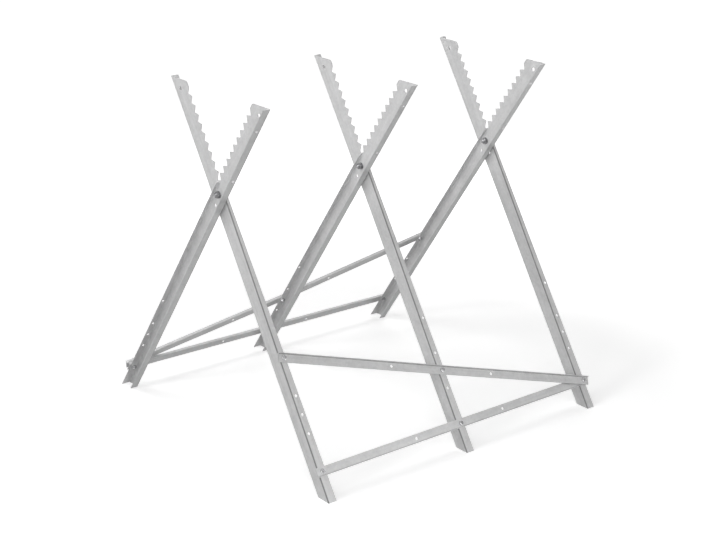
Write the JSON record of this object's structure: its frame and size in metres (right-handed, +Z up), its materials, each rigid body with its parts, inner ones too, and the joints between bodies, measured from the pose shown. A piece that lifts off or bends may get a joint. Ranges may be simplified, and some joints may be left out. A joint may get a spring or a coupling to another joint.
{
  "type": "log saw stand",
  "caption": "Folding log saw stand of galvanised sheet steel: toothed X-frames in a row, tied by bolted braces and turning on pivot bolts, that cradle a log for sawing.",
  "frame": {"origin": "on the ground, in the middle of the open stand's footprint", "axes": "+Z up, +X along the log, -Y the front side that the picture shows"},
  "size_m": [0.8328, 0.7746, 0.79],
  "materials": {
    "galvanised_sheet": "satin galvanised steel sheet with a fine rolling grain",
    "zinc_fastener": "zinc-plated steel"
  },
  "bodies": {
    "front_frame": {"front_leg_1": "galvanised_sheet", "front_leg_2": "galvanised_sheet", "front_leg_3": "galvanised_sheet", "front_lower_brace": "galvanised_sheet", "front_upper_brace": "galvanised_sheet", "front_brace_bolt_1": "zinc_fastener", "front_brace_bolt_2": "zinc_fastener", "front_brace_bolt_3": "zinc_fastener", "front_brace_bolt_4": "zinc_fastener", "front_brace_bolt_5": "zinc_fastener", "front_brace_nut_1": "zinc_fastener", "front_brace_nut_2": "zinc_fastener", "front_brace_nut_3": "zinc_fastener", "front_brace_nut_4": "zinc_fastener", "front_brace_nut_5": "zinc_fastener", "pivot_bolt_1": "zinc_fastener", "pivot_bolt_2": "zinc_fastener", "pivot_bolt_3": "zinc_fastener", "pivot_nut_1": "zinc_fastener", "pivot_nut_2": "zinc_fastener", "pivot_nut_3": "zinc_fastener", "pivot_head_washer_1": "zinc_fastener", "pivot_head_washer_2": "zinc_fastener", "pivot_head_washer_3": "zinc_fastener", "pivot_nut_washer_1": "zinc_fastener", "pivot_nut_washer_2": "zinc_fastener", "pivot_nut_washer_3": "zinc_fastener"},
    "rear_frame": {"rear_leg_1": "galvanised_sheet", "rear_leg_2": "galvanised_sheet", "rear_leg_3": "galvanised_sheet", "rear_lower_brace": "galvanised_sheet", "rear_upper_brace": "galvanised_sheet", "rear_brace_bolt_1": "zinc_fastener", "rear_brace_bolt_2": "zinc_fastener", "rear_brace_bolt_3": "zinc_fastener", "rear_brace_bolt_4": "zinc_fastener", "rear_brace_bolt_5": "zinc_fastener", "rear_brace_nut_1": "zinc_fastener", "rear_brace_nut_2": "zinc_fastener", "rear_brace_nut_3": "zinc_fastener", "rear_brace_nut_4": "zinc_fastener", "rear_brace_nut_5": "zinc_fastener"}
  },
  "joints": [
    {"name": "fold", "type": "hinge", "parent": "front_frame", "child": "rear_frame", "pos_m": [0, 0, 0.568], "axis": [-1, 0, 0], "range_deg": [0, 64]}
  ]
}
